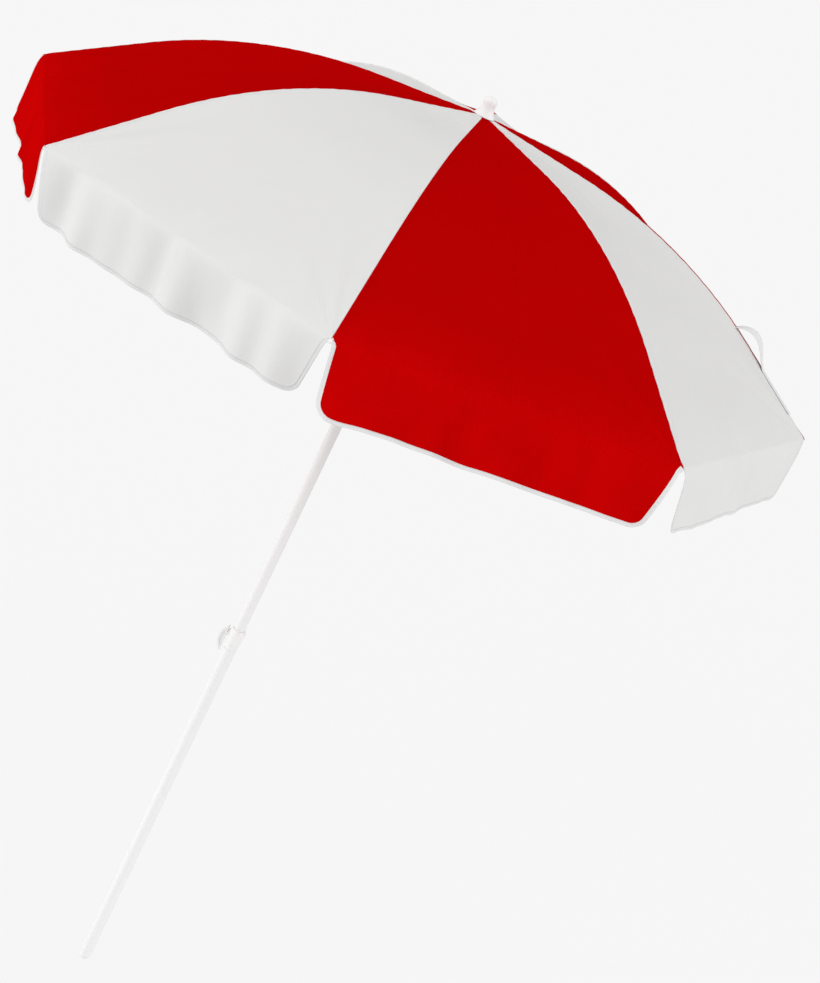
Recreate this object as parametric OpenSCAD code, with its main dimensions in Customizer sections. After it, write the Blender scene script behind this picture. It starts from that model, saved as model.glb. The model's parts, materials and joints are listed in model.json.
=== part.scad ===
// Folding beach umbrella: a two-part steel pole with a height clamp, a notched crown and a runner
// that carry eight bowed ribs on eight struts, and an eight-gore canopy with a hanging valance.
// Upright along +Z. The origin is the centre of the lower tube's bottom end. Millimetres.

/* [Lower pole] */
// Outer diameter of the lower tube
lower_d = 25; // [24:0.5:30]
// Wall of the lower tube
lower_wall = 1.2; // [1:0.1:1.2]
// Length of the lower tube
lower_len = 822; // [780:1:840]
// How far the foot plug stands out below the tube
tip_len = 9; // [6:1:20]

/* [Upper pole] */
// Radial play between the upper tube and the bore of the lower tube
pole_play = 0.3; // [0.2:0.1:0.5]
// Wall of the upper tube
upper_wall = 1; // [0.8:0.1:1.2]
// Length of upper tube that is inside the lower tube
insertion = 202; // [190:1:300]

/* [Clamp collar] */
// Height of the moulded clamp collar
collar_h = 44; // [40:1:60]
// How far the collar stands out from the lower tube
collar_wall = 3.6; // [3:0.1:6]
// Radius of the clamp screw's shank
screw_r = 3; // [2.5:0.1:4]
// Height of the finger wing on the clamp screw
wing_h = 58; // [50:1:64]

/* [Crown and runner] */
// Height of the ring on which the ribs hinge
crown_z = 1953; // [1940:1:2000]
// Radius of the rib and strut hinge rings
hinge_r = 20; // [20:0.5:22]
// Distance from the crown's hinge ring down to the runner's, with the canopy open
runner_drop = 240; // [220:1:260]
// Height of the cap on top of the pole
finial_h = 31.1; // [26:0.1:40]
// Radius of the cap's base
finial_r = 19.5; // [17:0.1:21]

/* [Ribs and struts] */
// Diameter of the bowed middle of a rib
rib_d = 4; // [3:0.1:4]
// Straight inner length of a rib
rib_inner = 184; // [170:1:200]
// Radius of the bow in a rib
rib_bow_r = 935; // [900:5:1100]
// Angle that a rib turns through in its bow
rib_bow = 26; // [18:1:28]
// Straight outer length of a rib
rib_outer = 200; // [180:1:210]
// Downward slope of a rib where it leaves the crown
rib_slope = 5.6; // [4:0.1:8]
// Distance along a rib from its hinge to the strut's lug
lug_at = 360; // [330:1:390]
// Depth of a strut bar
strut_h = 8; // [6:0.5:9]

/* [Canopy] */
// Thickness of the cloth
cloth = 1.2; // [0.8:0.1:2]
// How far a gore sags below the straight line between its ribs
saddle = 10; // [0:1:16]
// Length of the hanging valance flaps
flap_len = 112; // [80:1:140]
// Slope of the flaps below the horizontal
flap_slope = 78; // [70:1:86]
// How far a flap's lower corners are cut in from its upper ones
flap_cut = 28; // [10:1:40]
// Width of the closing strap
strap_w = 14; // [10:1:20]

/* [Hidden] */
GORES = 8;
step = 360 / GORES;
half = step / 2;
fit = 0.1;            // clearance of a sliding or turning fit
gap = 0.3;            // clearance between cloth and its neighbours
fine = 64;
joined = 0.02;        // clearance of two pieces that are pressed together

// poles
lower_r = lower_d / 2;
lower_bore_r = lower_r - lower_wall;
upper_r = lower_bore_r - pole_play;
upper_bore_r = upper_r - upper_wall;
upper_z = lower_len - insertion;
plug_h = 25;
plug_wall = 1.5;
bush_h = 20;

// collar and clamp screw
collar_seat = 18;
collar_z = lower_len - collar_seat;
free_len = collar_z - 2;    // of the lower tube, below the step on which the collar seats
seat_r = lower_r - 0.5;
collar_r = lower_r + collar_wall;
screw_z = lower_len + 12;
boss_r = 7;
boss_x = collar_r + 2.4;
knob_r = 6.5;
knob_x = boss_x + 1;
wing_t = 4.5;
wing_web = 2;
wing_rim = 4;
wing_bow_r = 42;
wing_drop = 16;       // the wing hangs this far below the screw's axis

// crown
hub_r = hinge_r + 5.5;
hub_top = 2;
hub_depth = 8;
hub_neck = 14;
slot_w = 3.4;
slot_r = hinge_r - 5.5;
eye_t = 2.4;
eye_r = 3.9;
wire_r = 1;

// ribs, in their own plane: x outwards from the hinge, z up
rod_r = rib_d / 2;
sleeved_r = rod_r + 0.15;   // the straight ends are sleeved over the bowed middle
sleeve_lap = 2;
rod_start = 12;
rib_bow_len = rib_bow_r * rib_bow * PI / 180;
rib_len = rib_inner + rib_bow_len + rib_outer;
rib_cap_r = 2.9;
rib_cap_len = 20;
rib_cap_nose = 5;
lug_r = 4;
lug_t = 2;
lug_drop = 9;
crimp_len = 14;
pin_r = 1.5;

// slope below the horizontal at a distance s along a rib
function rib_angle(s) =
    rib_slope + rib_bow * min(1, max(0, (s - rib_inner) / rib_bow_len));
// place of a rib's centre line at a distance s from its hinge
function rib_xz(s) =
    let (
        a = rib_slope,
        b = rib_angle(s),
        s1 = min(s, rib_inner),
        s3 = max(0, s - rib_inner - rib_bow_len)
    )
    [s1 * cos(a) + rib_bow_r * (sin(b) - sin(a)) + s3 * cos(b),
     -s1 * sin(a) - rib_bow_r * (cos(a) - cos(b)) - s3 * sin(b)];

// strut pin, runner and strut slope
lug_angle = rib_angle(lug_at);
pin_xz = rib_xz(lug_at) - lug_drop * [sin(lug_angle), cos(lug_angle)];
runner_z = crown_z - runner_drop;
strut_run = pin_xz[0];
strut_rise = pin_xz[1] + runner_drop;
strut_len = sqrt(strut_run * strut_run + strut_rise * strut_rise);
strut_slope = atan2(strut_rise, strut_run);
strut_eye_r = 4;
fork_w = 5.8;
fork_gap = 2.6;
fork_len = 16;

// runner and its catch
sleeve_r = 14.4;
runner_flange_r = hinge_r + 6;
runner_flange_h = 14;
sleeve_len = 40;
catch_w = 5;
catch_h = 12;
catch_z = runner_z - runner_flange_h / 2 - sleeve_len - catch_h - 0.3;
catch_out = 4;
catch_leaf = 34;

// cloth
cloth_lift = rod_r + 1.9;   // underside of the cloth above a rib's centre line
cloth_start = 3;
cloth_end = rib_len - 2;
rings = 16;                 // steps of a half gore along its rib
strips = 4;                 // steps of a half gore from its rib to its middle
edge_gap = 0.16;
flap_corner_r = 24;
flap_top_gap = 0.5;
flap_tip_gap = 4;

// underside of the cloth at distance s, a share u of the way from the rib to the gore's middle;
// x is along the gore's middle line and y across it
function cloth_point(s, u) =
    let (
        p = rib_xz(s),
        r = p[0] + hinge_r,
        dip = saddle * (1 - pow(1 - u, 2)) * sin(180 * s / rib_len)
    )
    [r * cos(half),
     -r * sin(half) * (1 - u) + edge_gap * (1 - 2 * u),
     crown_z + p[1] + cloth_lift - dip];

module tube(r, bore, h) {
    difference() {
        cylinder(r = r, h = h, $fn = fine);
        translate([0, 0, -1]) cylinder(r = bore, h = h + 2, $fn = fine);
    }
}

// a child placed in the plane of rib k, with its origin on the crown's hinge ring
module at_rib(k) {
    rotate([0, 0, step * (k - 1)]) translate([hinge_r, 0, crown_z]) children();
}

// a child placed on a rib's centre line at distance s, x along the rib
module on_rib(s) {
    p = rib_xz(s);
    translate([p[0], 0, p[1]]) rotate([0, rib_angle(s), 0]) children();
}

// a rod along x
module rod_x(r, h) {
    rotate([0, 90, 0]) cylinder(r = r, h = h, $fn = fine);
}

// a disc across the rib's plane
module disc_y(r, t) {
    rotate([90, 0, 0]) cylinder(r = r, h = t, center = true, $fn = fine);
}

module lower_pole() {
    color("white") difference() {
        union() {
            cylinder(r = lower_r, h = free_len, $fn = fine);
            cylinder(r = seat_r, h = lower_len, $fn = fine);
        }
        translate([0, 0, -1]) cylinder(r = lower_bore_r, h = lower_len + 2, $fn = fine);
    }
}

module ground_tip() {
    color("gainsboro") difference() {
        union() {
            translate([0, 0, -tip_len])
                cylinder(r1 = lower_r - 4, r2 = lower_r - 0.8, h = tip_len, $fn = fine);
            cylinder(r = lower_bore_r - joined, h = plug_h, $fn = fine);
        }
        translate([0, 0, plug_wall]) cylinder(r = lower_bore_r - plug_wall, h = plug_h, $fn = fine);
    }
}

module clamp_collar() {
    color("white") translate([0, 0, collar_z]) difference() {
        union() {
            cylinder(r1 = collar_r - 1, r2 = collar_r + 0.8, h = collar_h, $fn = fine);
            translate([0, 0, screw_z - collar_z]) rotate([0, -90, 0])
                cylinder(r = boss_r, h = boss_x, $fn = fine);
        }
        translate([0, 0, -1]) cylinder(r = seat_r + joined, h = collar_seat + 1, $fn = fine);
        cylinder(r = upper_r + 0.15, h = collar_h + 1, $fn = fine);
        translate([0, 0, screw_z - collar_z]) rotate([0, -90, 0])
            cylinder(r = screw_r + 0.08, h = boss_x + 1, $fn = fine);
    }
}

module wing_outline(inset) {
    intersection() {
        translate([knob_x - wing_bow_r + 13, -wing_drop]) circle(r = wing_bow_r - inset, $fn = fine);
        translate([knob_x + inset, -wing_drop - wing_h / 2 + inset])
            square([wing_bow_r, wing_h - 2 * inset]);
    }
}

module thumb_screw() {
    color("whitesmoke") translate([0, 0, screw_z]) rotate([0, 0, 180]) {
        translate([upper_r + 0.3, 0, 0]) rod_x(screw_r, knob_x - upper_r);
        translate([knob_x, 0, 0]) rod_x(knob_r, 4.5);
        rotate([90, 0, 0]) difference() {
            translate([0, 0, -wing_t / 2]) linear_extrude(wing_t) wing_outline(0);
            translate([0, 0, wing_web / 2]) linear_extrude(wing_t) wing_outline(wing_rim);
            translate([0, 0, -wing_t - wing_web / 2]) linear_extrude(wing_t) wing_outline(wing_rim);
        }
    }
}

module pole_bush() {
    color("dimgray") translate([0, 0, upper_z - bush_h]) {
        tube(lower_bore_r - fit, upper_bore_r - 3, bush_h - 0.2);
        tube(upper_bore_r - fit, upper_bore_r - 3, bush_h + plug_h);
    }
}

module upper_pole() {
    pole_h = crown_z + hub_top - upper_z;
    color("white") difference() {
        translate([0, 0, upper_z]) tube(upper_r, upper_bore_r, pole_h);
        rotate([0, 0, half]) translate([0, -catch_w / 2 - fit, catch_z - fit])
            cube([upper_r + 1, catch_w + 2 * fit, catch_h + 2 * fit]);
    }
}

module crown_hub() {
    color("white") translate([0, 0, crown_z]) difference() {
        union() {
            translate([0, 0, -hub_depth]) cylinder(r = hub_r, h = hub_depth + hub_top, $fn = fine);
            translate([0, 0, -hub_depth - hub_neck])
                cylinder(r = slot_r - 0.3, h = hub_neck + 1, $fn = fine);
        }
        translate([0, 0, -hub_depth - hub_neck - 1])
            cylinder(r = upper_r + joined, h = hub_depth + hub_neck + hub_top + 2, $fn = fine);
        for (k = [0:GORES - 1]) rotate([0, 0, step * k]) translate([slot_r, -slot_w / 2, -hub_depth - 1])
            cube([hub_r, slot_w, hub_depth + hub_top + 2]);
        rotate_extrude($fn = fine) translate([hinge_r, 0]) circle(r = wire_r + joined, $fn = fine);
    }
}

module crown_wire() {
    color("silver") translate([0, 0, crown_z])
        rotate_extrude($fn = fine) translate([hinge_r, 0]) circle(r = wire_r, $fn = fine);
}

module finial() {
    base_z = crown_z + cloth_lift + cloth + gap;
    shoulder_r = finial_r * 0.67;
    dome_z = finial_h - shoulder_r;
    color("white") translate([0, 0, base_z]) {
        cylinder(r = finial_r, h = 2, $fn = fine);
        translate([0, 0, 2])
            cylinder(r1 = finial_r - 0.8, r2 = shoulder_r + 0.2, h = dome_z - 4, $fn = fine);
        translate([0, 0, dome_z - 2]) cylinder(r = shoulder_r + 0.7, h = 2, $fn = fine);
        intersection() {
            translate([0, 0, dome_z]) sphere(r = shoulder_r, $fn = fine);
            translate([0, 0, dome_z - 1]) cylinder(r = finial_r, h = finial_h, $fn = fine);
        }
        translate([0, 0, -plug_h]) cylinder(r = upper_bore_r - joined, h = plug_h + 1, $fn = fine);
    }
}

module runner() {
    color("white") translate([0, 0, runner_z]) difference() {
        union() {
            translate([0, 0, -runner_flange_h / 2])
                cylinder(r = runner_flange_r, h = runner_flange_h, $fn = fine);
            translate([0, 0, -runner_flange_h / 2 - sleeve_len])
                cylinder(r = sleeve_r, h = sleeve_len + 1, $fn = fine);
        }
        translate([0, 0, -runner_flange_h / 2 - sleeve_len - 1])
            cylinder(r = upper_r + fit * 3, h = sleeve_len + runner_flange_h + 2, $fn = fine);
        for (k = [0:GORES - 1]) rotate([0, 0, step * k])
            translate([slot_r + 0.5, -slot_w / 2, -runner_flange_h])
                cube([runner_flange_r, slot_w, 2 * runner_flange_h]);
    }
}

module runner_catch() {
    nose = catch_out + 3.5;
    color("silver") rotate([0, 0, half]) translate([0, -catch_w / 2, catch_z]) {
        translate([upper_bore_r - 3, catch_w, 0]) rotate([90, 0, 0]) linear_extrude(catch_w)
            polygon([[0, 0], [2, 0], [nose, catch_h - 3], [nose, catch_h], [0, catch_h]]);
        translate([upper_bore_r - 4, 0, -catch_leaf]) cube([1, catch_w, catch_leaf + catch_h]);
    }
}

// tape sewn along a rib seam, with a free loop that bows out of the cloth
module strap() {
    steps = 24;
    from = 0.7 * rib_len;
    tape = 1;
    lift = cloth_lift + cloth + gap;
    function bow(t) = t < 0.5 ? 16 * pow(sin(360 * t), 2) : 0;
    function strap_xz(t, h) =
        let (s = from + t * 0.23 * rib_len, a = rib_angle(s), p = rib_xz(s), d = lift + bow(t) + h)
        [p[0] + d * sin(a), p[1] + d * cos(a)];
    color("white") at_rib(1) translate([0, strap_w / 2, 0]) rotate([90, 0, 0]) linear_extrude(strap_w)
        polygon(concat(
            [for (i = [0:steps]) strap_xz(i / steps, 0)],
            [for (i = [steps:-1:0]) strap_xz(i / steps, tape)]
        ));
}

module rib(k) {
    color("lightgray") at_rib(k) difference() {
        union() {
            rotate([0, rib_slope, 0]) {
                disc_y(eye_r, eye_t);
                translate([0, -eye_t / 2, -eye_r + 1]) cube([rod_start + 4, eye_t, 2 * eye_r - 2]);
                translate([rod_start, 0, 0]) rod_x(sleeved_r, rib_inner - rod_start + sleeve_lap);
                translate([rib_inner, 0, -rib_bow_r]) rotate([90, 0, 0]) rotate([0, 0, 90 - rib_bow])
                    rotate_extrude(angle = rib_bow, $fn = fine) translate([rib_bow_r, 0])
                        circle(r = rod_r, $fn = fine);
            }
            on_rib(rib_len - rib_outer) translate([-sleeve_lap, 0, 0])
                rod_x(sleeved_r, sleeve_lap + rib_outer - rib_cap_nose);
            on_rib(lug_at) {
                translate([-crimp_len / 2, 0, 0]) rod_x(rib_cap_r, crimp_len);
                translate([-lug_r, -lug_t / 2, -lug_drop]) cube([2 * lug_r, lug_t, lug_drop]);
                translate([0, 0, -lug_drop]) disc_y(lug_r, lug_t);
            }
        }
        disc_y(wire_r + 0.3, eye_t + 2);
        on_rib(lug_at) translate([0, 0, -lug_drop]) disc_y(pin_r + 0.08, lug_t + 2);
    }
}

module rib_tip(k) {
    color("white") at_rib(k) on_rib(rib_len - rib_cap_len) difference() {
        union() {
            rod_x(rib_cap_r, rib_cap_len - rib_cap_r + 1);
            translate([rib_cap_len - rib_cap_r + 1, 0, 0]) sphere(r = rib_cap_r, $fn = fine);
        }
        translate([-1, 0, 0]) rod_x(sleeved_r + joined, rib_cap_len - rib_cap_nose + 1.2);
    }
}

module stretcher(k) {
    color("lightgray") rotate([0, 0, step * (k - 1)]) translate([hinge_r, 0, runner_z])
        rotate([0, -strut_slope, 0]) {
            difference() {
                union() {
                    disc_y(strut_eye_r, eye_t);
                    translate([0, -eye_t / 2, -strut_h / 2])
                        cube([strut_len - fork_len + 2, eye_t, strut_h]);
                }
                disc_y(wire_r + 0.3, eye_t + 2);
                translate([-strut_h, -strut_h, -strut_h])
                    cube([strut_h - 0.01, 2 * strut_h, strut_h / 2 + 0.01]);
            }
            translate([strut_len, 0, 0]) difference() {
                union() {
                    disc_y(lug_r + 0.3, fork_w);
                    translate([-fork_len, -fork_w / 2, -lug_r]) cube([fork_len, fork_w, 2 * lug_r]);
                }
                translate([-lug_r - 2.5, -fork_gap / 2, -lug_r - 2])
                    cube([3 * lug_r, fork_gap, 2 * lug_r + 4]);
            }
            translate([strut_len, 0, 0]) disc_y(pin_r, fork_w);
        }
}

// half a gore, from its rib to its middle line
module half_gore(k, mirrored) {
    ring = strips + 1;
    top = (rings + 1) * ring;
    function at(i, j, side) = side * top + i * ring + j;
    points = [
        for (side = [0, 1], i = [0:rings], j = [0:strips])
            cloth_point(cloth_start + (cloth_end - cloth_start) * i / rings, j / strips)
                + [0, 0, side * cloth]
    ];
    skins = [
        for (i = [0:rings - 1], j = [0:strips - 1]) each [
            [at(i, j, 1), at(i, j + 1, 1), at(i + 1, j + 1, 1)],
            [at(i, j, 1), at(i + 1, j + 1, 1), at(i + 1, j, 1)],
            [at(i, j, 0), at(i + 1, j + 1, 0), at(i, j + 1, 0)],
            [at(i, j, 0), at(i + 1, j, 0), at(i + 1, j + 1, 0)]
        ]
    ];
    long_edges = [
        for (i = [0:rings - 1]) each [
            [at(i, 0, 0), at(i, 0, 1), at(i + 1, 0, 1), at(i + 1, 0, 0)],
            [at(i, strips, 0), at(i + 1, strips, 0), at(i + 1, strips, 1), at(i, strips, 1)]
        ]
    ];
    short_edges = [
        for (j = [0:strips - 1]) each [
            [at(0, j, 0), at(0, j + 1, 0), at(0, j + 1, 1), at(0, j, 1)],
            [at(rings, j, 0), at(rings, j, 1), at(rings, j + 1, 1), at(rings, j + 1, 0)]
        ]
    ];
    color(k % 2 == 1 ? "red" : "whitesmoke") rotate([0, 0, step * (k - 1) + half])
        mirror([0, mirrored ? 1 : 0, 0])
            polyhedron(points = points, faces = concat(skins, long_edges, short_edges), convexity = 4);
}

// flap that hangs from the edge of gore k
module valance(k) {
    hem = cloth_point(cloth_end, 1);
    top_half = (rib_xz(cloth_end)[0] + hinge_r) * sin(half) - flap_tip_gap;
    low_half = top_half - flap_cut - flap_corner_r;
    color(k % 2 == 1 ? "red" : "whitesmoke") rotate([0, 0, step * (k - 1) + half])
        translate([hem[0] + flap_top_gap, 0, hem[2] + cloth]) rotate([0, flap_slope, 0]) rotate([0, 0, 90])
            linear_extrude(cloth) hull() {
                translate([-top_half, -0.1]) square([2 * top_half, 0.1]);
                for (side = [-1, 1]) translate([side * low_half, -flap_len + flap_corner_r])
                    circle(r = flap_corner_r, $fn = 32);
            }
}

lower_pole();
ground_tip();
clamp_collar();
thumb_screw();
pole_bush();
upper_pole();
crown_hub();
crown_wire();
finial();
runner();
runner_catch();
strap();
for (k = [1:GORES]) {
    rib(k);
    rib_tip(k);
    stretcher(k);
    half_gore(k, false);
    half_gore(k, true);
    valance(k);
}
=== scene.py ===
import json
import math
import random

import bmesh
import bpy
import numpy as np
from mathutils import Matrix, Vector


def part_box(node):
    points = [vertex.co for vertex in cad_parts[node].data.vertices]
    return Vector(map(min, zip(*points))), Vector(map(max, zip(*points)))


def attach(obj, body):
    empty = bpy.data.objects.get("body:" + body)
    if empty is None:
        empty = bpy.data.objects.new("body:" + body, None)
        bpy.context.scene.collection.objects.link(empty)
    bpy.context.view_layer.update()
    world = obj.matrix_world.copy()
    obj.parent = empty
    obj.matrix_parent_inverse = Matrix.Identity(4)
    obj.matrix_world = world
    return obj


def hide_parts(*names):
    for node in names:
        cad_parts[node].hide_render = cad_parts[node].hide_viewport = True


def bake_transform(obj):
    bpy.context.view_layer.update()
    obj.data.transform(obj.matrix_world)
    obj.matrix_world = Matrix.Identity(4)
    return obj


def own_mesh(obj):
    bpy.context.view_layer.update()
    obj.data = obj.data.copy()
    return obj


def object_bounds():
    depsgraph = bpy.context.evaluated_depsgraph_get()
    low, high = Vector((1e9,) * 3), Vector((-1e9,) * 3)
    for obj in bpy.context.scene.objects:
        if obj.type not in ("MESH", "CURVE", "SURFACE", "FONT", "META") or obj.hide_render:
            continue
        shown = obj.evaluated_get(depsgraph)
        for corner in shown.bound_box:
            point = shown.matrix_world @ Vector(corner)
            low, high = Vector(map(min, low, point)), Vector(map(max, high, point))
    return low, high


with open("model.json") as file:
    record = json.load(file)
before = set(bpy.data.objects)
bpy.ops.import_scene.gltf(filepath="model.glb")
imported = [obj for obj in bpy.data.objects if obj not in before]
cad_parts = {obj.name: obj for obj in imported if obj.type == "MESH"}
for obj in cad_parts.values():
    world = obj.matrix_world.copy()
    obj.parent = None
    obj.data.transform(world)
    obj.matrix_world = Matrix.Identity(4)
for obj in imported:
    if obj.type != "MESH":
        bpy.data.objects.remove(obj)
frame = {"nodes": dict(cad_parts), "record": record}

CAD_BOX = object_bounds()
for unfinished in list(bpy.data.materials):
    bpy.data.materials.remove(unfinished)
NODES = frame["nodes"]

# ---------------------------------------------------------------- dimensions, metres and radians
GORES = 8
HALF = math.pi / GORES
ring_low, ring_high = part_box("crown_wire")
WIRE_R = (ring_high.z - ring_low.z) / 2
HINGE_R = ring_high.x - WIRE_R
CROWN_Z = (ring_high.z + ring_low.z) / 2

# a rib: straight, bowed, straight, as in the CAD part
RIB_SLOPE = math.radians(5.6)
RIB_BOW = math.radians(26)
RIB_BOW_R = 0.935
RIB_INNER = 0.184
RIB_OUTER = 0.200
RIB_BOW_LEN = RIB_BOW_R * RIB_BOW
RIB_LEN = RIB_INNER + RIB_BOW_LEN + RIB_OUTER

# cloth
CLOTH_START = 0.003
HEM = RIB_LEN - 0.002
SKIN_LIFT = 0.0051          # outer face of the cloth above a rib's centre line
SADDLE = 0.010
CLOTH = 0.0007
FLAP_LEN = 0.112
FLAP_TURN = 0.007           # length over which the cloth turns down at the hem
HEM_GAP = 0.00002           # the flaps start this far below the hem, so the two never cross
FLAP_CORNER = 0.024
# how each gore's flap hangs: its slopes below the horizontal in degrees, at its left and right ends, how far
# its lower left and right corners are cut in, and the depth of its folds
FLAPS = {
    1: (82, 79, 0.028, 0.028, 0.0030),
    2: (84, 88, 0.026, 0.028, 0.0034),
    3: (90, 92, 0.028, 0.022, 0.0032),
    4: (92, 86, 0.024, 0.028, 0.0030),
    5: (81, 99, 0.030, 0.028, 0.0026),
    6: (91, 98, 0.023, 0.018, 0.0066),
    7: (84, 64, 0.010, 0.031, 0.0080),
    8: (76, 85, 0.015, 0.030, 0.0015),
}
# height of the pressed fold along the middle of each gore
CREASES = (0, 0.0010, -0.0011, 0.0010, -0.0012, -0.0011, 0.0012, -0.0013, 0.0004)
SLIT = 0.004                # half of the opening between two flaps, at its top
BINDING_W = 0.0052
STRAP_W = 0.014
STRAP_THICK = 0.0009
STITCH_OFF = 0.0028         # distance of a stitched line from its seam
# The gores' is a rough guess, about 10 % above the cut. The deep flaps' was set from their measured area;
# their outline alone gives 0.94.
SHARP_EDGE = math.radians(32)


def smooth(x, low, high):
    """0 below low, 1 above high, and a smooth step between."""
    t = np.clip((x - low) / (high - low), 0, 1)
    return t * t * (3 - 2 * t)


def rib_angle(s):
    """Slope of a rib below the horizontal at distance s from its hinge."""
    return RIB_SLOPE + RIB_BOW * np.clip((s - RIB_INNER) / RIB_BOW_LEN, 0, 1)


def rib_place(s):
    """Radius and height of a rib's centre line at distance s from its hinge."""
    a, b = RIB_SLOPE, rib_angle(s)
    inner = np.minimum(s, RIB_INNER)
    outer = np.maximum(s - RIB_INNER - RIB_BOW_LEN, 0)
    out = inner * np.cos(a) + RIB_BOW_R * (np.sin(b) - np.sin(a)) + outer * np.cos(b)
    down = inner * np.sin(a) + RIB_BOW_R * (np.cos(a) - np.cos(b)) + outer * np.sin(b)
    return HINGE_R + out, CROWN_Z - down


def half_width(s):
    """Half the width of a gore at distance s."""
    return rib_place(np.minimum(s, HEM))[0] * math.sin(HALF)


def flap_edge(t, cut):
    """Distance from a flap's middle line to its free side, at t below the hem."""
    top = half_width(HEM) - SLIT * smooth(t, 0.002, 0.012)
    drop = FLAP_LEN - FLAP_CORNER
    inward = cut + FLAP_CORNER
    lean = math.atan(inward / drop) - math.asin(FLAP_CORNER / math.hypot(inward, drop))
    below = np.clip((t - drop) / FLAP_CORNER, 0, 1)
    corner = half_width(HEM) - SLIT - inward + FLAP_CORNER * np.sqrt(1 - below * below)
    return np.where(t < drop + FLAP_CORNER * math.sin(lean), top - t * math.tan(lean), corner)


def side_width(k, s, share):
    """Distance from the middle line of gore k to the edge of its cloth, on the side that share's sign names."""
    left, right = (flap_edge(s - HEM, cut) for cut in FLAPS[k][2:4])
    return np.where(s <= HEM, half_width(s), np.where(share < 0, left, right))


# ---------------------------------------------------------------- the cloth's surface
def fold_dice(k):
    """The random numbers that shape the folds of gore k, the same on every run."""
    return random.Random(100 + k)


def swell(k, s, y):
    """Long low waves in the cloth."""
    dice = fold_dice(k)
    total = 0
    for _ in range(4):
        heading, length, phase = dice.uniform(0, math.pi), dice.uniform(0.14, 0.3), dice.uniform(0, 6.28)
        along = s * math.cos(heading) + y * math.sin(heading)
        total = total + 0.0007 * np.sin(2 * math.pi * along / length + phase)
    return total


def tip_fans(k, s, y):
    """Folds that fan out from the two rib tips, where the cloth is pulled tight."""
    dice = fold_dice(k + 20)
    corner_y = float(rib_place(HEM)[0]) * math.sin(HALF)
    seam_lean = math.atan(math.cos(RIB_SLOPE + RIB_BOW) * math.sin(HALF))
    total = 0
    for side in (-1, 1):
        back, across = HEM - s, corner_y - side * y
        reach = np.hypot(back, across) + 1e-9
        turn = np.arctan2(across, back) - seam_lean
        peak = dice.uniform(0.07, 0.11)
        rise = reach / peak * np.exp(1 - reach / peak)
        window = smooth(turn, 0, 0.10) * (1 - smooth(turn, 0.3, 0.9))
        folds = 0
        for turns in (13, 21, 34):
            folds = folds + np.sin(turns * turn + dice.uniform(0, 6.28)) * 13 / turns
        total = total + dice.uniform(0.0010, 0.0015) * rise * window * folds
        bend, depth = dice.uniform(0.9, 1.2), dice.uniform(0.0024, 0.0034)
        valley = 0.7 * np.exp(-((turn / bend - 0.31) / 0.10) ** 2) - np.exp(-((turn / bend - 0.14) / 0.06) ** 2)
        total = total + depth * rise * valley
    return total


def flap_folds(k, s, y):
    """Soft upright folds in the hanging flap, which die out above the hem."""
    dice = fold_dice(k + 40)
    t = s - HEM
    grow = smooth(t, -0.10, FLAP_LEN)
    folds = 0
    for length, share in ((0.30, 0.7), (0.17, 0.9), (0.105, 0.65), (0.068, 0.35)):
        bend = dice.uniform(-0.25, 0.25)
        phase = dice.uniform(0, 6.28)
        folds = folds + share * np.sin(2 * math.pi * (y + bend * t) / length + phase)
    edge = np.exp(-np.maximum(FLAP_LEN - t, 0) / 0.03)
    ripple = 0.0005 * np.sin(2 * math.pi * y / dice.uniform(0.044, 0.056) + dice.uniform(0, 6.28))
    return FLAPS[k][4] * grow * folds + ripple * edge * smooth(t, 0, 0.05)


def crease(k, s, y):
    """The pressed fold along the middle of a gore."""
    return CREASES[k] * np.maximum(0, 1 - np.abs(y) / 0.014) * smooth(s, 0.05, 0.2)


def crown_puckers(k, s, share):
    """Gathers round the cap."""
    dice = fold_dice(k + 60)
    return 0.0005 * np.sin(2 * math.pi * share * 2.5 + dice.uniform(0, 6.28)) * np.exp(-s / 0.06) * (s > 0)


def seam_puckers(rib, s, gap):
    """Small puckers that the seam's thread pulls, the same on both sides of rib."""
    dice = fold_dice(rib + 80)
    wave = np.sin(2 * math.pi * s / 0.031 + dice.uniform(0, 6.28))
    wave = wave + 0.6 * np.sin(2 * math.pi * s / 0.019 + dice.uniform(0, 6.28))
    return 0.00022 * wave * np.exp(-gap / 0.010)


def seam_roll(k, s, y, gap):
    """The folded edge of the cloth that lies on top at each seam, along the left side of a gore. The tie strap's
    stitching presses it flat."""
    under_strap = smooth(s, RIB_LEN * 0.815, RIB_LEN * 0.835) if k == 1 else 0
    height = 0.0021 * (1 - under_strap) * (y < 0) * smooth(s, 0.04, 0.16)
    return height * np.exp(-((gap - 0.0032) / 0.0024) ** 2)


def relief(k, s, y):
    """Height of the folds above the smooth cloth of gore k."""
    w = half_width(s)
    share = np.clip(y / w, -1.2, 1.2)
    loose = smooth(s, HEM - 0.03, HEM + 0.03)
    held = 1 - (1 - loose) * share ** 6
    gap = np.maximum(w - np.abs(y), 0)
    on_gore = 1 - smooth(s, HEM - 0.01, HEM)
    left, right = k, k % GORES + 1
    puckers = np.where(y < 0, seam_puckers(left, s, gap), seam_puckers(right, s, gap))
    return (
        held * (1 - share ** 2 * (1 - loose)) * swell(k, s, y)
        + tip_fans(k, s, y) * held
        + flap_folds(k, s, y) * held
        + crease(k, s, y)
        + crown_puckers(k, s, share) * held
        + (puckers + seam_roll(k, s, y, gap)) * on_gore
    )


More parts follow.
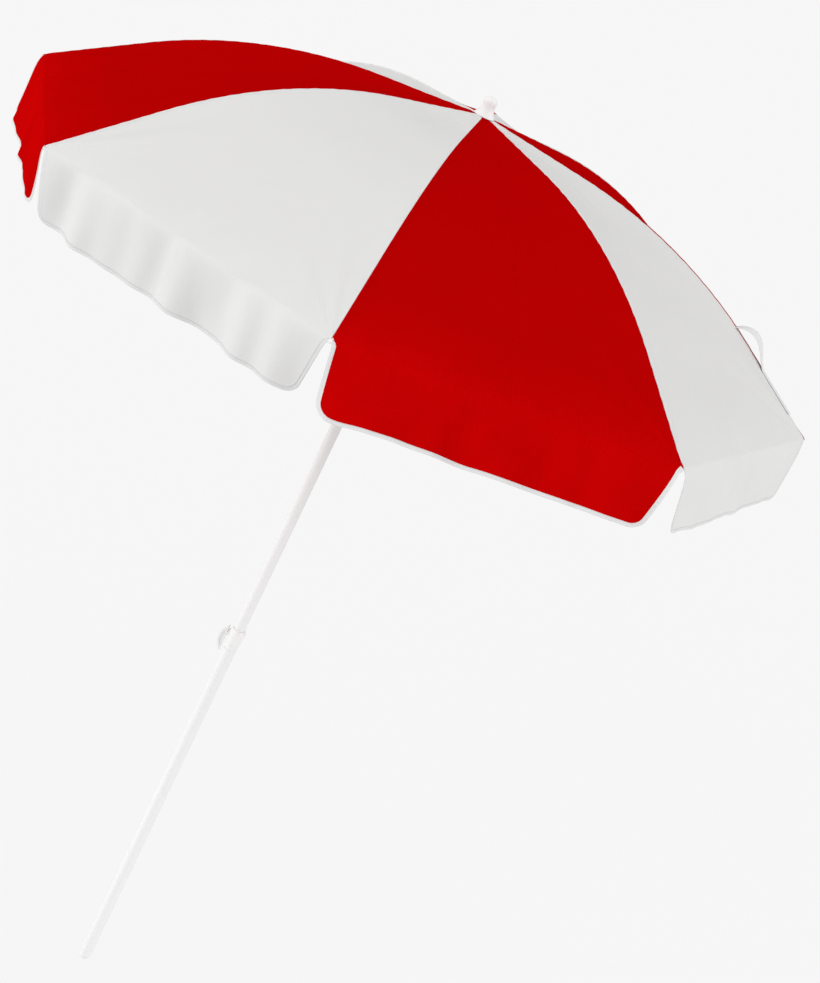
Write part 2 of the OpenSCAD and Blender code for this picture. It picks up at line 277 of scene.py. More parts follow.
def smooth_cloth(k, s, y):
    """The outer face of gore k's cloth without folds, in its own frame: x out along its middle, y across."""
    on_rib = np.minimum(s, HEM)
    r, z = rib_place(on_rib)
    w = r * math.sin(HALF)
    share = y / w
    dip = SADDLE * (1 - share ** 2) * np.sin(math.pi * on_rib / RIB_LEN)
    x, z = r * math.cos(HALF), z + SKIN_LIFT - dip
    t = np.maximum(s - HEM, 0)
    end_dip = SADDLE * (1 - share ** 2) * math.pi / RIB_LEN * math.cos(math.pi * HEM / RIB_LEN)
    end = RIB_SLOPE + RIB_BOW
    start = np.arctan2(math.sin(end) + end_dip, math.cos(end) * math.cos(HALF))
    hang = np.radians(FLAPS[k][0] + (FLAPS[k][1] - FLAPS[k][0]) * (share + 1) / 2)
    steps = 32
    for i in range(steps):
        at = t * (i + 0.5) / steps
        slope = hang - (hang - start) * np.exp(-at / FLAP_TURN)
        x = x + t / steps * np.cos(slope)
        z = z - t / steps * np.sin(slope)
    return np.stack([x, y + 0 * x, z], axis=-1)


def normals_of(place, s, y, step=0.0004):
    """Outward normals of the surface place(s, y)."""
    down = place(s + step, y) - place(s - step, y)
    side = place(s, y + step) - place(s, y - step)
    n = np.cross(down, side)
    n /= np.linalg.norm(n, axis=-1, keepdims=True)
    return n


def folded_cloth(k, s, y):
    """The cloth's outer face with its folds, in the gore's own frame."""
    def base(s, y):
        return smooth_cloth(k, s, y)
    return base(s, y) + normals_of(base, s, y) * relief(k, s, y)[..., None]


def turned(points, angle):
    """Points or directions turned about the pole's axis."""
    c, sn = math.cos(angle), math.sin(angle)
    x, y = points[..., 0], points[..., 1]
    return np.stack([x * c - y * sn, x * sn + y * c, points[..., 2]], axis=-1)


def gore_angle(k):
    """Direction of gore k's middle line."""
    return (2 * k - 1) * HALF


# ---------------------------------------------------------------- mesh building
def new_object(name, data):
    obj = bpy.data.objects.new(name, data)
    bpy.context.scene.collection.objects.link(obj)
    return obj


def build(name, points, faces, normals=None, uv=None, seam=None):
    """A smooth mesh object, with its own vertex normals and a UV map in metres where they are given."""
    mesh = bpy.data.meshes.new(name)
    mesh.from_pydata([tuple(p) for p in points.tolist()], [], faces)
    mesh.polygons.foreach_set("use_smooth", [True] * len(mesh.polygons))
    corners = np.zeros(len(mesh.loops), np.int32)
    mesh.loops.foreach_get("vertex_index", corners)
    if uv is not None:
        layer = mesh.uv_layers.new(name="cloth")
        layer.data.foreach_set("uv", uv[corners].astype(np.float32).ravel())
    if seam is not None:
        attribute = mesh.attributes.new("seam", "FLOAT", "POINT")
        attribute.data.foreach_set("value", seam.astype(np.float32))
    mesh.update()
    if normals is not None:
        mesh.normals_split_custom_set_from_vertices(normals.tolist())
    return new_object(name, mesh)


def grid_faces(rows, columns, offset=0, flip=False):
    faces = []
    for i in range(rows - 1):
        for j in range(columns - 1):
            a = offset + i * columns + j
            quad = (a, a + columns, a + columns + 1, a + 1)
            faces.append(quad[::-1] if flip else quad)
    return faces


def slab(name, outer, normal, thickness, uv, seam):
    """A closed sheet of even thickness below the grid of points outer."""
    rows, columns = outer.shape[:2]
    count = rows * columns
    inner = outer - normal * thickness
    faces = grid_faces(rows, columns) + grid_faces(rows, columns, count, True)
    rim = [(0, j) for j in range(columns - 1)] + [(i, columns - 1) for i in range(rows - 1)]
    rim += [(rows - 1, j) for j in range(columns - 1, 0, -1)] + [(i, 0) for i in range(rows - 1, 0, -1)]
    loop = [i * columns + j for i, j in rim]
    for here, after in zip(loop, loop[1:] + loop[:1]):
        faces.append((here, after, after + count, here + count))
    points = np.concatenate([outer.reshape(-1, 3), inner.reshape(-1, 3)])
    normals = np.concatenate([normal.reshape(-1, 3), -normal.reshape(-1, 3)])
    uvs = np.concatenate([uv.reshape(-1, 2)] * 2)
    return build(name, points, faces, normals, uvs, np.concatenate([seam.ravel()] * 2))


# ---------------------------------------------------------------- materials
class Shader:
    """A Principled material whose node tree is put together a node at a time."""

    def __init__(self, name, colour, roughness, **settings):
        self.material = bpy.data.materials.new(name)
        self.material.use_nodes = True
        self.tree = self.material.node_tree
        self.main = self.tree.nodes["Principled BSDF"]
        self.material.diffuse_color = (*colour, 1)
        self.main.inputs["Base Color"].default_value = (*colour, 1)
        self.main.inputs["Roughness"].default_value = roughness
        for key, value in settings.items():
            self.main.inputs[key.replace("_", " ").title().replace("Ior", "IOR")].default_value = value
        self.bump = None

    def link(self, source, target):
        self.tree.links.new(source, target)

    def node(self, kind, **inputs):
        made = self.tree.nodes.new("ShaderNode" + kind)
        for key, value in inputs.items():
            socket = made.inputs[key.replace("_", " ")]
            if isinstance(value, bpy.types.NodeSocket):
                self.link(value, socket)
            else:
                socket.default_value = value
        return made

    def maths(self, operation, first, second=0.0, third=0.0):
        made = self.tree.nodes.new("ShaderNodeMath")
        made.operation = operation
        for socket, value in zip(made.inputs, (first, second, third)):
            if isinstance(value, bpy.types.NodeSocket):
                self.link(value, socket)
            else:
                socket.default_value = value
        return made.outputs[0]

    def place(self, scale=(1, 1, 1), uv=False):
        """Coordinates in metres, of the piece or of its UV map, stretched by scale."""
        if uv:
            source = self.tree.nodes.new("ShaderNodeUVMap")
            source.uv_map = "cloth"
            out = source.outputs["UV"]
        else:
            out = self.tree.nodes.new("ShaderNodeTexCoord").outputs["Object"]
        return self.node("Mapping", Vector=out, Scale=scale).outputs[0]

    def noise(self, place, scale, detail=3.0, roughness=0.5):
        made = self.node("TexNoise", Vector=place, Scale=scale, Detail=detail, Roughness=roughness)
        return made.outputs["Fac"]

    def spread(self, value, low, high, new_low, new_high):
        made = self.tree.nodes.new("ShaderNodeMapRange")
        for name, number in (("From Min", low), ("From Max", high), ("To Min", new_low), ("To Max", new_high)):
            made.inputs[name].default_value = number
        self.link(value, made.inputs["Value"])
        return made.outputs["Result"]

    def mix(self, share, first, second):
        made = self.tree.nodes.new("ShaderNodeMix")
        made.data_type = "RGBA"
        self.link(share, made.inputs["Factor"])
        for name, value in (("A", first), ("B", second)):
            socket = [i for i in made.inputs if i.name == name and i.type == "RGBA"][0]
            if isinstance(value, bpy.types.NodeSocket):
                self.link(value, socket)
            else:
                socket.default_value = (*value, 1)
        return [o for o in made.outputs if o.type == "RGBA"][0]

    def raise_by(self, height, distance, strength=1.0):
        """Adds a layer of bump, distance metres high."""
        made = self.node("Bump", Height=height, Distance=distance, Strength=strength)
        if self.bump is not None:
            self.link(self.bump, made.inputs["Normal"])
        self.bump = made.outputs["Normal"]

    def done(self, colour=None, roughness=None):
        if colour is not None:
            self.link(colour, self.main.inputs["Base Color"])
        if roughness is not None:
            self.link(roughness, self.main.inputs["Roughness"])
        if self.bump is not None:
            self.link(self.bump, self.main.inputs["Normal"])
        return self.material


def woven(name, colour, deep, thread, pitch, **settings):
    """Plain-weave cloth: crossing threads, faint slubs and crumpling, and a stitched line beside each seam.
    It carries painted shade and light: deepest in colour over the gore above the hem, and lighter towards its free
    edge on the hanging flap."""
    s = Shader(name, colour, 0.85, **settings)
    uv = s.place(uv=True)
    parts = s.node("SeparateXYZ", Vector=uv)
    warp = s.maths("SINE", s.maths("MULTIPLY", parts.outputs["X"], math.pi / pitch))
    weft = s.maths("SINE", s.maths("MULTIPLY", parts.outputs["Y"], math.pi / pitch))
    s.raise_by(s.maths("MULTIPLY", warp, weft), pitch * 0.10, 0.5)
    crumple = s.noise(s.place((1, 0.35, 1), uv=True), 42, 4, 0.55)
    s.raise_by(crumple, 0.0012, 0.35)
    fine = s.noise(uv, 230, 2, 0.5)
    s.raise_by(fine, 0.0002, 0.5)
    slub = s.noise(s.place((1600, 26, 1), uv=True), 1, 2)
    tone = s.mix(s.spread(slub, 0.3, 0.8, 0.0, 0.55), colour, deep)
    cloudy = s.noise(uv, 9, 3)
    tone = s.mix(s.spread(cloudy, 0.35, 0.75, 0.0, 0.4), tone, deep)
    # painted shade: mixed towards the deeper colour above the hem and fading out down the flap, which stays lighter
    # as if better lit
    tone = s.mix(s.spread(parts.outputs["Y"], HEM - 0.12, HEM + 0.02, 0.75, 0.0), tone, deep)
    seam = s.tree.nodes.new("ShaderNodeAttribute")
    seam.attribute_name = "seam"
    away = s.maths("ABSOLUTE", s.maths("SUBTRACT", seam.outputs["Fac"], STITCH_OFF))
    line = s.maths("LESS_THAN", away, 0.0004)
    dash = s.maths("LESS_THAN", s.maths("FRACT", s.maths("DIVIDE", parts.outputs["Y"], 0.0034)), 0.72)
    stitch = s.maths("MULTIPLY", line, dash)
    s.raise_by(stitch, 0.0003, 0.8)
    tone = s.mix(stitch, tone, thread)
    fold = s.maths("LESS_THAN", seam.outputs["Fac"], 0.0052)
    s.raise_by(fold, 0.0004, 0.6)
    return s.done(tone, s.spread(crumple, 0.3, 0.7, 0.78, 0.92))


def painted(name, colour, worn):
    """Sprayed paint on steel: slight orange peel, a few fine scratches and uneven gloss."""
    s = Shader(name, colour, 0.35, coat_weight=0.15, coat_roughness=0.2)
    place = s.place()
    peel = s.noise(place, 420, 2)
    s.raise_by(peel, 0.00006, 0.3)
    drift = s.noise(place, 12, 4)
    scratch = s.noise(s.place((900, 900, 14)), 1, 2, 0.6)
    marks = s.spread(scratch, 0.70, 0.78, 0.0, 0.35)
    tone = s.mix(marks, colour, worn)
    return s.done(tone, s.spread(drift, 0.3, 0.7, 0.3, 0.46))


def moulded(name, colour, shade):
    """Injection-moulded plastic: fine grain, faint flow marks."""
    s = Shader(name, colour, 0.4)
    place = s.place()
    s.raise_by(s.noise(place, 1500, 2), 0.00005, 0.5)
    s.raise_by(s.noise(place, 90, 3), 0.0003, 0.25)
    flow = s.noise(s.place((30, 30, 8)), 1, 4)
    return s.done(s.mix(s.spread(flow, 0.35, 0.75, 0, 0.5), colour, shade), s.spread(flow, 0.3, 0.7, 0.34, 0.5))


def metal(name, colour, dull, **settings):
    """Drawn steel with fine lines along it."""
    s = Shader(name, colour, 0.4, **settings)
    drawn = s.noise(s.place((260, 260, 260)), 3, 4)
    blotch = s.noise(s.place(), 60, 3)
    s.raise_by(drawn, 0.0001, 0.3)
    return s.done(s.mix(s.spread(blotch, 0.4, 0.7, 0, 0.6), colour, dull), s.spread(drawn, 0.3, 0.7, 0.3, 0.5))


def pale_floor():
    """A floor that glows evenly, with only a trace of shadow on it."""
    material = bpy.data.materials.new("pale_floor")
    material.use_nodes = True
    nodes, links = material.node_tree.nodes, material.node_tree.links
    nodes.clear()
    glow, dull = nodes.new("ShaderNodeEmission"), nodes.new("ShaderNodeBsdfDiffuse")
    both, out = nodes.new("ShaderNodeAddShader"), nodes.new("ShaderNodeOutputMaterial")
    glow.inputs["Color"].default_value = (1, 1, 1, 1)
    glow.inputs["Strength"].default_value = FLOOR_GLOW
    dull.inputs["Color"].default_value = (0.05, 0.05, 0.05, 1)
    links.new(glow.outputs[0], both.inputs[0])
    links.new(dull.outputs[0], both.inputs[1])
    links.new(both.outputs[0], out.inputs["Surface"])
    return material


BACKGROUND = 0.923
FLOOR_GLOW = 0.872
AMBIENT = 0.70
# soft lights: azimuth and elevation of where each stands, in degrees, and its strength
LIGHTS = ((190, 12, 1.15), (345, 28, 1.05), (240, 20, 0.70), (350, 60, 0.22))

# the deeper colours give the random slubs and clouding, and the painted shade over the gore above the hem
RED, DEEP_RED_AND_SHADE = (0.50, 0.0006, 0.0008), (0.375, 0.0002, 0.0004)
WHITE, SOFT_WHITE_AND_SHADE = (0.68, 0.678, 0.675), (0.63, 0.626, 0.620)
red_cloth = woven("red_cloth", RED, DEEP_RED_AND_SHADE, (0.42, 0.002, 0.002), 0.0006, specular_ior_level=0.0)
white_cloth = woven("white_cloth", WHITE, SOFT_WHITE_AND_SHADE, (0.76, 0.76, 0.76), 0.0006, specular_ior_level=0.1)
white_tape = woven("white_tape", (0.70, 0.70, 0.70), (0.65, 0.65, 0.65), (0.76, 0.76, 0.76), 0.0009,
                   specular_ior_level=0.2)
white_paint = painted("white_paint", (0.76, 0.76, 0.76), (0.65, 0.65, 0.65))
white_plastic = moulded("white_plastic", (0.78, 0.78, 0.775), (0.72, 0.72, 0.715))
grey_plastic = moulded("grey_plastic", (0.12, 0.12, 0.125), (0.09, 0.09, 0.09))
rib_steel = metal("rib_steel", (0.74, 0.74, 0.74), (0.64, 0.64, 0.64), metallic=0.3)
spring_steel = metal("spring_steel", (0.55, 0.55, 0.56), (0.42, 0.41, 0.40), metallic=1.0)
FINISHES = {"red_cloth": red_cloth, "white_cloth": white_cloth, "white_tape": white_tape,
            "white_paint": white_paint, "white_plastic": white_plastic, "grey_plastic": grey_plastic,
            "rib_steel": rib_steel, "spring_steel": spring_steel}


def gore_slot(k):
    """The cloth of gore k: red and white by turns."""
    return "red_cloth" if k % 2 else "white_cloth"


# ---------------------------------------------------------------- the canopy
HALF_COLUMNS = 36


def column_shares(finer=1):
    """Shares of a half gore's width from its seam to its middle, closer together at both ends."""
    t = np.linspace(0, 1, HALF_COLUMNS * finer + 1)
    return t - 0.6 * np.sin(2 * math.pi * t) / (2 * math.pi)


def cloth_grid(k, rows, shares):
    """Outer points, normals and UVs of gore k's cloth at these distances and shares of its width, -1 to 1."""
    s = rows[:, None] + 0 * shares[None, :]
    y = side_width(k, s, shares[None, :]) * shares[None, :]

    def place(s, y):
        return folded_cloth(k, s, y)
    points, normals = place(s, y), normals_of(place, s, y)
    seam = np.abs(half_width(s) - np.abs(y))
    return turned(points, gore_angle(k)), turned(normals, gore_angle(k)), np.stack([y, s], axis=-1), seam


def half_gore(k, side):
    """One half of gore k, sewn to its rib and creased along its middle."""
    rows = np.linspace(CLOTH_START, HEM, 136)
    inward = column_shares()
    shares = inward - 1 if side == "left" else 1 - inward[::-1]
    points, normals, uv, seam = cloth_grid(k, rows, shares)
    obj = slab(f"gore_{k}_{side}", points, normals, CLOTH, uv, seam)
    obj.data.materials.append(FINISHES[gore_slot(k)])
    body = f"panel_{k}_{side}"
    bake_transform(obj)
    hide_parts(body)
    return obj


def flap_rows():
    straight = np.linspace(HEM_GAP, FLAP_LEN - FLAP_CORNER, 20)
    straight = np.concatenate([np.linspace(HEM_GAP, straight[1], 5)[:-1], straight[1:]])
    arc = FLAP_LEN - FLAP_CORNER * (1 - np.sin(np.linspace(0, math.pi / 2, 12)[1:]))
    return HEM + np.concatenate([straight, arc])


def hang(obj, k):
    """Lets a piece of flap k hang from the hem, on the valance's body, with a mesh of its own."""
    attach(obj, f"valance_{k}")
    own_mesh(obj)


def flap(k):
    """The valance flap that hangs from gore k, of the same cloth."""
    inward = column_shares(finer=3)
    shares = np.concatenate([inward - 1, 1 - inward[::-1][1:]])
    points, normals, uv, _ = cloth_grid(k, flap_rows(), shares)
    far = np.full(points.shape[:2], 1.0)
    obj = slab(f"flap_{k}", points, normals, CLOTH, uv, far)
    obj.data.materials.append(FINISHES[gore_slot(k)])
    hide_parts(f"valance_{k}")
    hang(obj, k)
    return obj


def flap_outline(k):
    """Distance below the hem and place across, round the free edge of flap k from one top corner to the other."""
    t = np.concatenate([np.linspace(0.004, FLAP_LEN - FLAP_CORNER, 24)[:-1],
                        FLAP_LEN - FLAP_CORNER * (1 - np.sin(np.linspace(0, math.pi / 2, 14)))])
    left, right = flap_edge(t, FLAPS[k][2]), flap_edge(t, FLAPS[k][3])
    bottom = np.linspace(-left[-1], right[-1], 170)[1:-1]
    t = np.concatenate([t, np.full(len(bottom), FLAP_LEN), t[::-1]])
    y = np.concatenate([-left, bottom, right[::-1]])
    return t, y


def binding(k):
    """White tape folded over the free edge of flap k, with a stitched line on its outer face."""
    t, y = flap_outline(k)
    step_t, step_y = np.gradient(t), np.gradient(y)
    size = np.hypot(step_t, step_y)
    in_t, in_y = -step_y / size, step_t / size

    def place(s, y):
        return folded_cloth(k, s, y)
    half = CLOTH / 2 + 0.0003
    section = [(BINDING_W, CLOTH / 2 + 0.0001), (BINDING_W * 0.5, half), (0.0, half), (-0.0008, half * 0.6),
               (-0.0011, 0.0), (-0.0008, -half * 0.6), (0.0, -half), (BINDING_W * 0.5, -half),
               (BINDING_W, -CLOTH / 2 - 0.0001)]
    rings, uvs = [], []
    length = np.concatenate([[0], np.cumsum(np.hypot(np.diff(t), np.diff(y)))])
    for n, (inset, lift) in enumerate(section):
        s, across_y = HEM + t + in_t * inset, y + in_y * inset
        outer, normal = place(s, across_y), normals_of(place, s, across_y)
        rings.append(outer + normal * (lift - CLOTH / 2))
        uvs.append(np.stack([np.full(len(t), n * 0.002), length], axis=-1))
    points = turned(np.stack(rings, axis=1), gore_angle(k))
    uv = np.stack(uvs, axis=1)
    rows, columns = points.shape[:2]
    faces = grid_faces(rows, columns)
    for i in range(rows - 1):
        a, b = i * columns, i * columns + columns - 1
        faces.append((a, b, b + columns, a + columns)[::-1])
    faces.append(tuple(range(columns))[::-1])
    faces.append(tuple((rows - 1) * columns + j for j in range(columns)))
    seam = np.tile([1.0] + [STITCH_OFF] + [1.0] * (columns - 2), rows)
    obj = build(f"binding_{k}", points.reshape(-1, 3), faces, None, uv.reshape(-1, 2), seam)
    obj.data.materials.append(white_tape)
    hang(obj, k)
    return obj


def crown_patch():
    """The middle of the canopy, where the gores meet under the cap."""
    radii = np.array([0.0108, 0.014, 0.0175, 0.021, 0.0237])
    steps = 8
    turns = np.arange(steps * GORES) * (2 * math.pi / (steps * GORES))
    drop = np.maximum(radii - HINGE_R, 0) * math.tan(RIB_SLOPE)
    top = SKIN_LIFT - 0.0006
    rings = []
    for radius, low in zip(radii, drop):
        rings.append(np.stack([radius * np.cos(turns), radius * np.sin(turns),
                               np.full(len(turns), CROWN_Z + top - low)], axis=-1))
    outer = np.stack(rings)
    inner = outer - np.array([0, 0, CLOTH])
    rows, columns = outer.shape[:2]
    count = rows * columns
    faces, which = [], []

    def add(quad, column):
        faces.append(quad)
        which.append((column // steps) % 2)
    for j in range(columns):
        after = (j + 1) % columns
        for i in range(rows - 1):
            a, b = i * columns + j, i * columns + after
            add((a, a + columns, b + columns, b), j)
            add((count + b, count + b + columns, count + a + columns, count + a), j)
        last = (rows - 1) * columns
        add((last + j, count + last + j, count + last + after, last + after), j)
        add((after, count + after, count + j, j), j)
    points = np.concatenate([outer.reshape(-1, 3), inner.reshape(-1, 3)])
    obj = build("crown_patch", points, faces, None, points[:, :2].copy(), np.full(len(points), 1.0))
    obj.data.materials.append(red_cloth)
    obj.data.materials.append(white_cloth)
    obj.data.polygons.foreach_set("material_index", which)
    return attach(obj, "mast")


def sweep(name, centres, sides, ups, sections, material):
    """A closed outline swept along centres; each of sections gives its (sideways, up) offsets there."""
    rings = [[c + side * a + up * b for a, b in shape] for c, side, up, shape in zip(centres, sides, ups, sections)]
    points = np.array(rings, float).reshape(-1, 3)
    rows, columns = len(centres), len(sections[0])
    faces = []
    for i in range(rows - 1):
        for j in range(columns):
            a, b = i * columns + j, i * columns + (j + 1) % columns
            faces.append((a, b, b + columns, a + columns))
    faces.append(tuple(range(columns))[::-1])
    faces.append(tuple((rows - 1) * columns + j for j in range(columns)))
    length = np.concatenate([[0], np.cumsum(np.linalg.norm(np.diff(np.array(centres), axis=0), axis=1))])
    uv = np.array([(a, l) for l, shape in zip(length, sections) for a, _ in shape], float)
    obj = build(name, points, faces, None, uv, np.full(len(points), 1.0))
    obj.data.materials.append(material)
    return obj


def rounded(width, height, corner=4):
    """A flat outline with round ends, width by height."""
    half, end = width / 2 - height / 2, height / 2
    points = []
    for i in range(corner + 1):
        a = -math.pi / 2 + math.pi * i / corner
        points.append((half + end * math.cos(a), end * math.sin(a)))
    points += [(x, end) for x in np.linspace(half, -half, 7)[1:-1]]
    for i in range(corner + 1):
        a = math.pi / 2 + math.pi * i / corner
        points.append((-half + end * math.cos(a), end * math.sin(a)))
    return points + [(x, -end) for x in np.linspace(-half, half, 7)[1:-1]]


def strap():
    """The tie strap: tape sewn along the seam on rib 1, with a loop that stands off the cloth."""
    centres, sides, ups, sections = [], [], [], []
    for t in np.linspace(0, 1, 90):
        s = RIB_LEN * (0.70 + 0.23 * t)
        r, z = rib_place(np.array(s))
        a = float(rib_angle(np.array(s)))
        stand = math.sin(math.pi * min(t / 0.5, 1) ** 0.7)
        lift = SKIN_LIFT + STRAP_THICK + 0.018 * stand ** 1.3
        twist = math.radians(38 * stand)
        up = np.array([math.sin(a), 0, math.cos(a)])
        side = np.array([0, 1.0, 0])
        centres.append(np.array([float(r), 0, float(z)]) + up * (lift + STRAP_W / 2 * math.sin(twist) * 0.8))
        sides.append(side * math.cos(twist) + up * math.sin(twist))
        ups.append(up * math.cos(twist) - side * math.sin(twist))
        sag = 0.34 * (1 - stand)
        sections.append([(x, high - sag * abs(x)) for x, high in rounded(STRAP_W, STRAP_THICK)])
    obj = sweep("tie_strap", centres, sides, ups, sections, white_tape)
    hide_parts("strap")
    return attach(obj, "rib_1")


def tip_pocket(k):
    """The little sewn pocket that holds the end of rib k."""
    angle = (k - 1) * 2 * HALF
    centres, sides, ups, ends = [], [], [], []
    out = np.array([math.cos(angle), math.sin(angle), 0])
    side = np.array([-math.sin(angle), math.cos(angle), 0])
    steps = 10
    for i in range(steps + 1):
        t = i / steps
        s = RIB_LEN - 0.026 + 0.0268 * t
        r, z = rib_place(np.array(s))
        a = float(rib_angle(np.array(s)))
        up = out * math.sin(a) + np.array([0, 0, math.cos(a)])
        centres.append(out * float(r) + np.array([0, 0, float(z)]) - up * 0.0003)
        sides.append(side)
        ups.append(up)
        end = math.sqrt(max(1 - ((t - 0.7) / 0.31) ** 2, 0.02)) if t > 0.7 else 1.0
        ends.append(end)
    around = 16
    outline = [(math.cos(2 * math.pi * j / around), math.sin(2 * math.pi * j / around)) for j in range(around)]
    rings = []
    for c, sd, up, end in zip(centres, sides, ups, ends):
        rings.append([c + sd * x * 0.0046 * end + up * y * 0.0034 * (0.4 + 0.6 * end) for x, y in outline])
    points = np.array(rings).reshape(-1, 3)
    faces = []
    for i in range(steps):
        for j in range(around):
            a, b = i * around + j, i * around + (j + 1) % around
            faces.append((a, b, b + around, a + around))
    faces.append(tuple(range(around))[::-1])
    faces.append(tuple(steps * around + j for j in range(around)))
    uv = np.array([(0.0009 * j, 0.0027 * i) for i in range(steps + 1) for j in range(around)])
    obj = build(f"tip_pocket_{k}", points, faces, None, uv, np.full(len(points), 1.0))
    obj.data.materials.append(white_tape)
    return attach(obj, f"rib_{k}")


def lathe(name, profile, material, around=96):
    """A closed solid turned about the pole's axis; profile gives radii and heights, as a closed outline if it
    has a bore."""
    points, faces, rows = [], [], len(profile)
    for radius, z in profile:
        for i in range(around):
            a = 2 * math.pi * i / around
            points.append((radius * math.cos(a), radius * math.sin(a), z))
    bored = profile[0][0] > 0
    for n in range(rows if bored else rows - 1):
        for i in range(around):
            after, below = (i + 1) % around, (n + 1) % rows
            faces.append((n * around + i, below * around + i, below * around + after, n * around + after))
    mesh = bpy.data.meshes.new(name)
    mesh.from_pydata(points, [], faces)
    shape = bmesh.new()
    shape.from_mesh(mesh)
    bmesh.ops.remove_doubles(shape, verts=shape.verts, dist=1e-6)
    bmesh.ops.recalc_face_normals(shape, faces=shape.faces)
    shape.to_mesh(mesh)
    shape.free()
    mesh.materials.append(material)
    mesh.shade_smooth()
    mesh.set_sharp_from_angle(angle=SHARP_EDGE)
    return new_object(name, mesh)


def cap():
    """The cap on top of the pole: a rounded knob on a flared skirt, with its plug inside the tube."""
    low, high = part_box("finial")
    base = low.z + 0.025
    skirt = high.x
    profile = [(0, 0.0365), (0.0040, 0.0362), (0.0076, 0.0350), (0.0102, 0.0330), (0.0119, 0.0302), (0.0126, 0.0270),
               (0.0126, 0.0235), (0.0123, 0.0200), (0.0126, 0.0160), (0.0137, 0.0120), (0.0154, 0.0080),
               (0.0172, 0.0048), (0.0188, 0.0026), (skirt, 0.0014), (skirt, 0.0003), (skirt - 0.0003, 0),
               (0.0099, 0), (0.0099, -0.0240), (0.0092, -0.0250), (0, -0.0250)]
    obj = lathe("cap", [(r, base + z) for r, z in profile], white_plastic)
    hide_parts("finial")
    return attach(obj, "mast")


def collar():
    """The clamp collar: a tapered sleeve with a rounded top lip and a thin skirt, and the screw's boss."""
    low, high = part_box("clamp_collar")
    z = low.z
    profile = [(0.01108, 0.0448), (0.0116, 0.0449), (0.0128, 0.0441), (0.0142, 0.0423), (0.0153, 0.0401),
               (0.0158, 0.0380), (0.0158, 0.0355), (0.0153, 0.0280), (0.0147, 0.0180), (0.0144, 0.0110),
               (0.0141, 0.0092), (0.0135, 0.0082), (0.0129, 0.0078), (0.0128, 0), (0.0120, 0),
               (0.0120, 0.0180), (0.01108, 0.0180)]
    sleeve = lathe("collar", [(r, z + up) for r, up in profile], white_plastic)
    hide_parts("clamp_collar")
    outer, bore, start, end = 0.007, 0.0031, 0.0120, -low.x
    ring = [(bore, start), (outer, start), (outer, end - 0.0008), (outer - 0.0008, end), (bore, end)]
    boss = lathe("collar_boss", ring, white_plastic, 48)
    turn = Matrix(((0, 0, -1), (0, 1, 0), (1, 0, 0))).to_4x4()
    boss.data.transform(Matrix.Translation((0, 0, z + 0.030)) @ turn)
    for piece in (sleeve, boss):
        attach(piece, "lower")


def runner_wire():
    """The wire ring in the runner, on which the struts turn."""
    low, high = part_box("runner")
    z = high.z - (high.z - low.z - 0.040) / 2
    major, minor, around, tube = HINGE_R, 0.00095, 96, 12
    points, faces = [], []
    for i in range(around):
        a = 2 * math.pi * i / around
        for j in range(tube):
            b = 2 * math.pi * j / tube
            r = major + minor * math.cos(b)
            points.append((r * math.cos(a), r * math.sin(a), z + minor * math.sin(b)))
            here, along = i * tube, (i + 1) % around * tube
            faces.append((here + j, along + j, along + (j + 1) % tube, here + (j + 1) % tube))
    obj = build("runner_wire", np.array(points), faces)
    obj.data.materials.append(spring_steel)
    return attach(obj, "runner")


# ---------------------------------------------------------------- put together
def finish_cad_nodes():
    """Gives every CAD node its material and smooth shading, kept sharp at edges above a set angle."""
    slots = {p["node"]: p["material_slot"] for p in frame["record"]["subparts"]}
    for name, obj in NODES.items():
        obj.data.materials.clear()
        obj.data.materials.append(FINISHES[slots[name]])
        obj.data.shade_smooth()
        obj.data.set_sharp_from_angle(angle=SHARP_EDGE)


def canopy():
    for k in range(1, GORES + 1):
        half_gore(k, "left")
        half_gore(k, "right")
        cloth, tape = flap(k), binding(k)
        tip_pocket(k)
    crown_patch()
    strap()


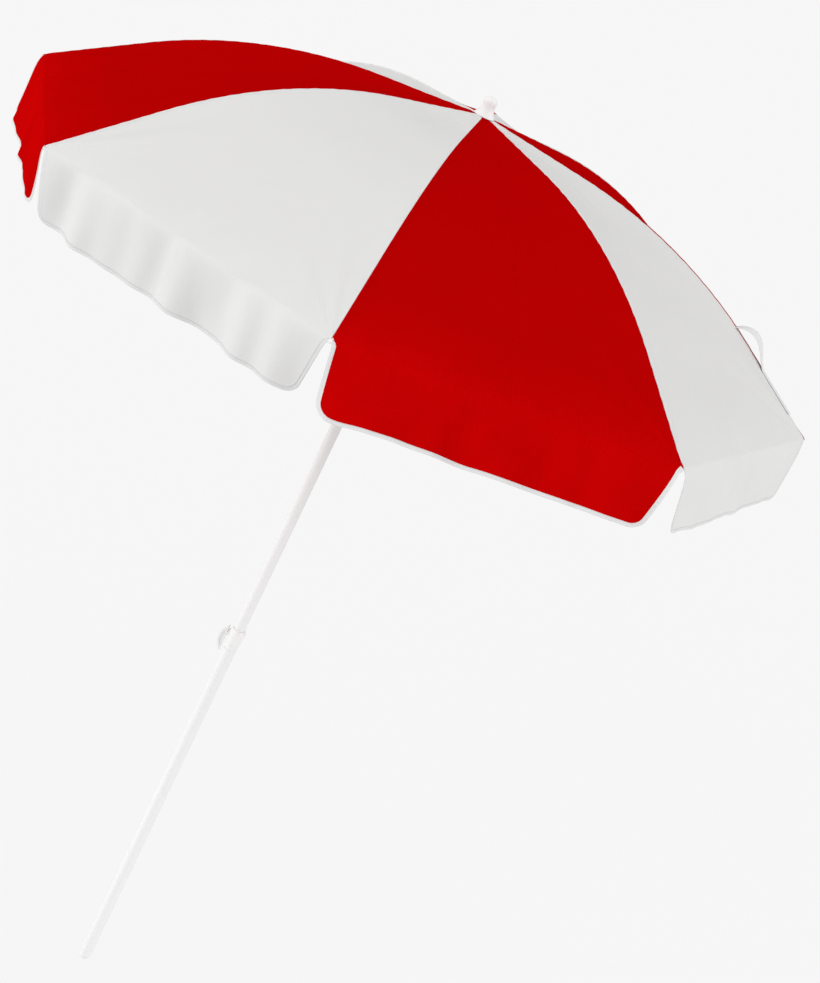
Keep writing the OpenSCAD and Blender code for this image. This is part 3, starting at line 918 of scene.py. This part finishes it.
def camera():
    """The camera's place and aim as fitted to the pole, rib tips and seams."""
    data = bpy.data.cameras.new("camera")
    data.sensor_width = 36
    data.lens = 66.09
    data.clip_end = 500
    obj = new_object("camera", data)
    pan, tilt, roll = math.radians(1.198), math.radians(90 - 20.091), math.radians(26.549)
    turn = Matrix.Rotation(pan, 4, "Z") @ Matrix.Rotation(tilt, 4, "X") @ Matrix.Rotation(roll, 4, "Z")
    obj.matrix_world = Matrix.Translation((0.246, -3.202, 2.440)) @ turn
    bpy.context.scene.camera = obj


def studio():
    """A pale floor, even light all round and the soft lights."""
    half = 300.0
    low = CAD_BOX[0].z - 0.0005
    corners = [(-half, -half, low), (half, -half, low), (half, half, low), (-half, half, low)]
    mesh = bpy.data.meshes.new("floor")
    mesh.from_pydata(corners, [], [(0, 1, 2, 3)])
    mesh.materials.append(pale_floor())
    new_object("floor", mesh)
    world = bpy.data.worlds.new("studio")
    world.use_nodes = True
    nodes, links = world.node_tree.nodes, world.node_tree.links
    seen, lighting = nodes["Background"], nodes.new("ShaderNodeBackground")
    seen.inputs["Color"].default_value = lighting.inputs["Color"].default_value = (1, 1, 1, 1)
    seen.inputs["Strength"].default_value = BACKGROUND
    lighting.inputs["Strength"].default_value = AMBIENT
    rays, mixed = nodes.new("ShaderNodeLightPath"), nodes.new("ShaderNodeMixShader")
    links.new(rays.outputs["Is Camera Ray"], mixed.inputs[0])
    links.new(lighting.outputs[0], mixed.inputs[1])
    links.new(seen.outputs[0], mixed.inputs[2])
    links.new(mixed.outputs[0], nodes["World Output"].inputs["Surface"])
    bpy.context.scene.world = world
    for n, (azimuth, elevation, strength) in enumerate(LIGHTS):
        sun = bpy.data.lights.new(f"soft_light_{n + 1}", "SUN")
        sun.energy = strength
        sun.angle = math.radians(35)
        light = new_object(sun.name, sun)
        light.rotation_euler = (math.radians(90 - elevation), 0, math.radians(azimuth + 90))
    bpy.context.scene.view_settings.view_transform = "Standard"


camera()
finish_cad_nodes()
canopy()
runner_wire()
cap()
collar()
studio()
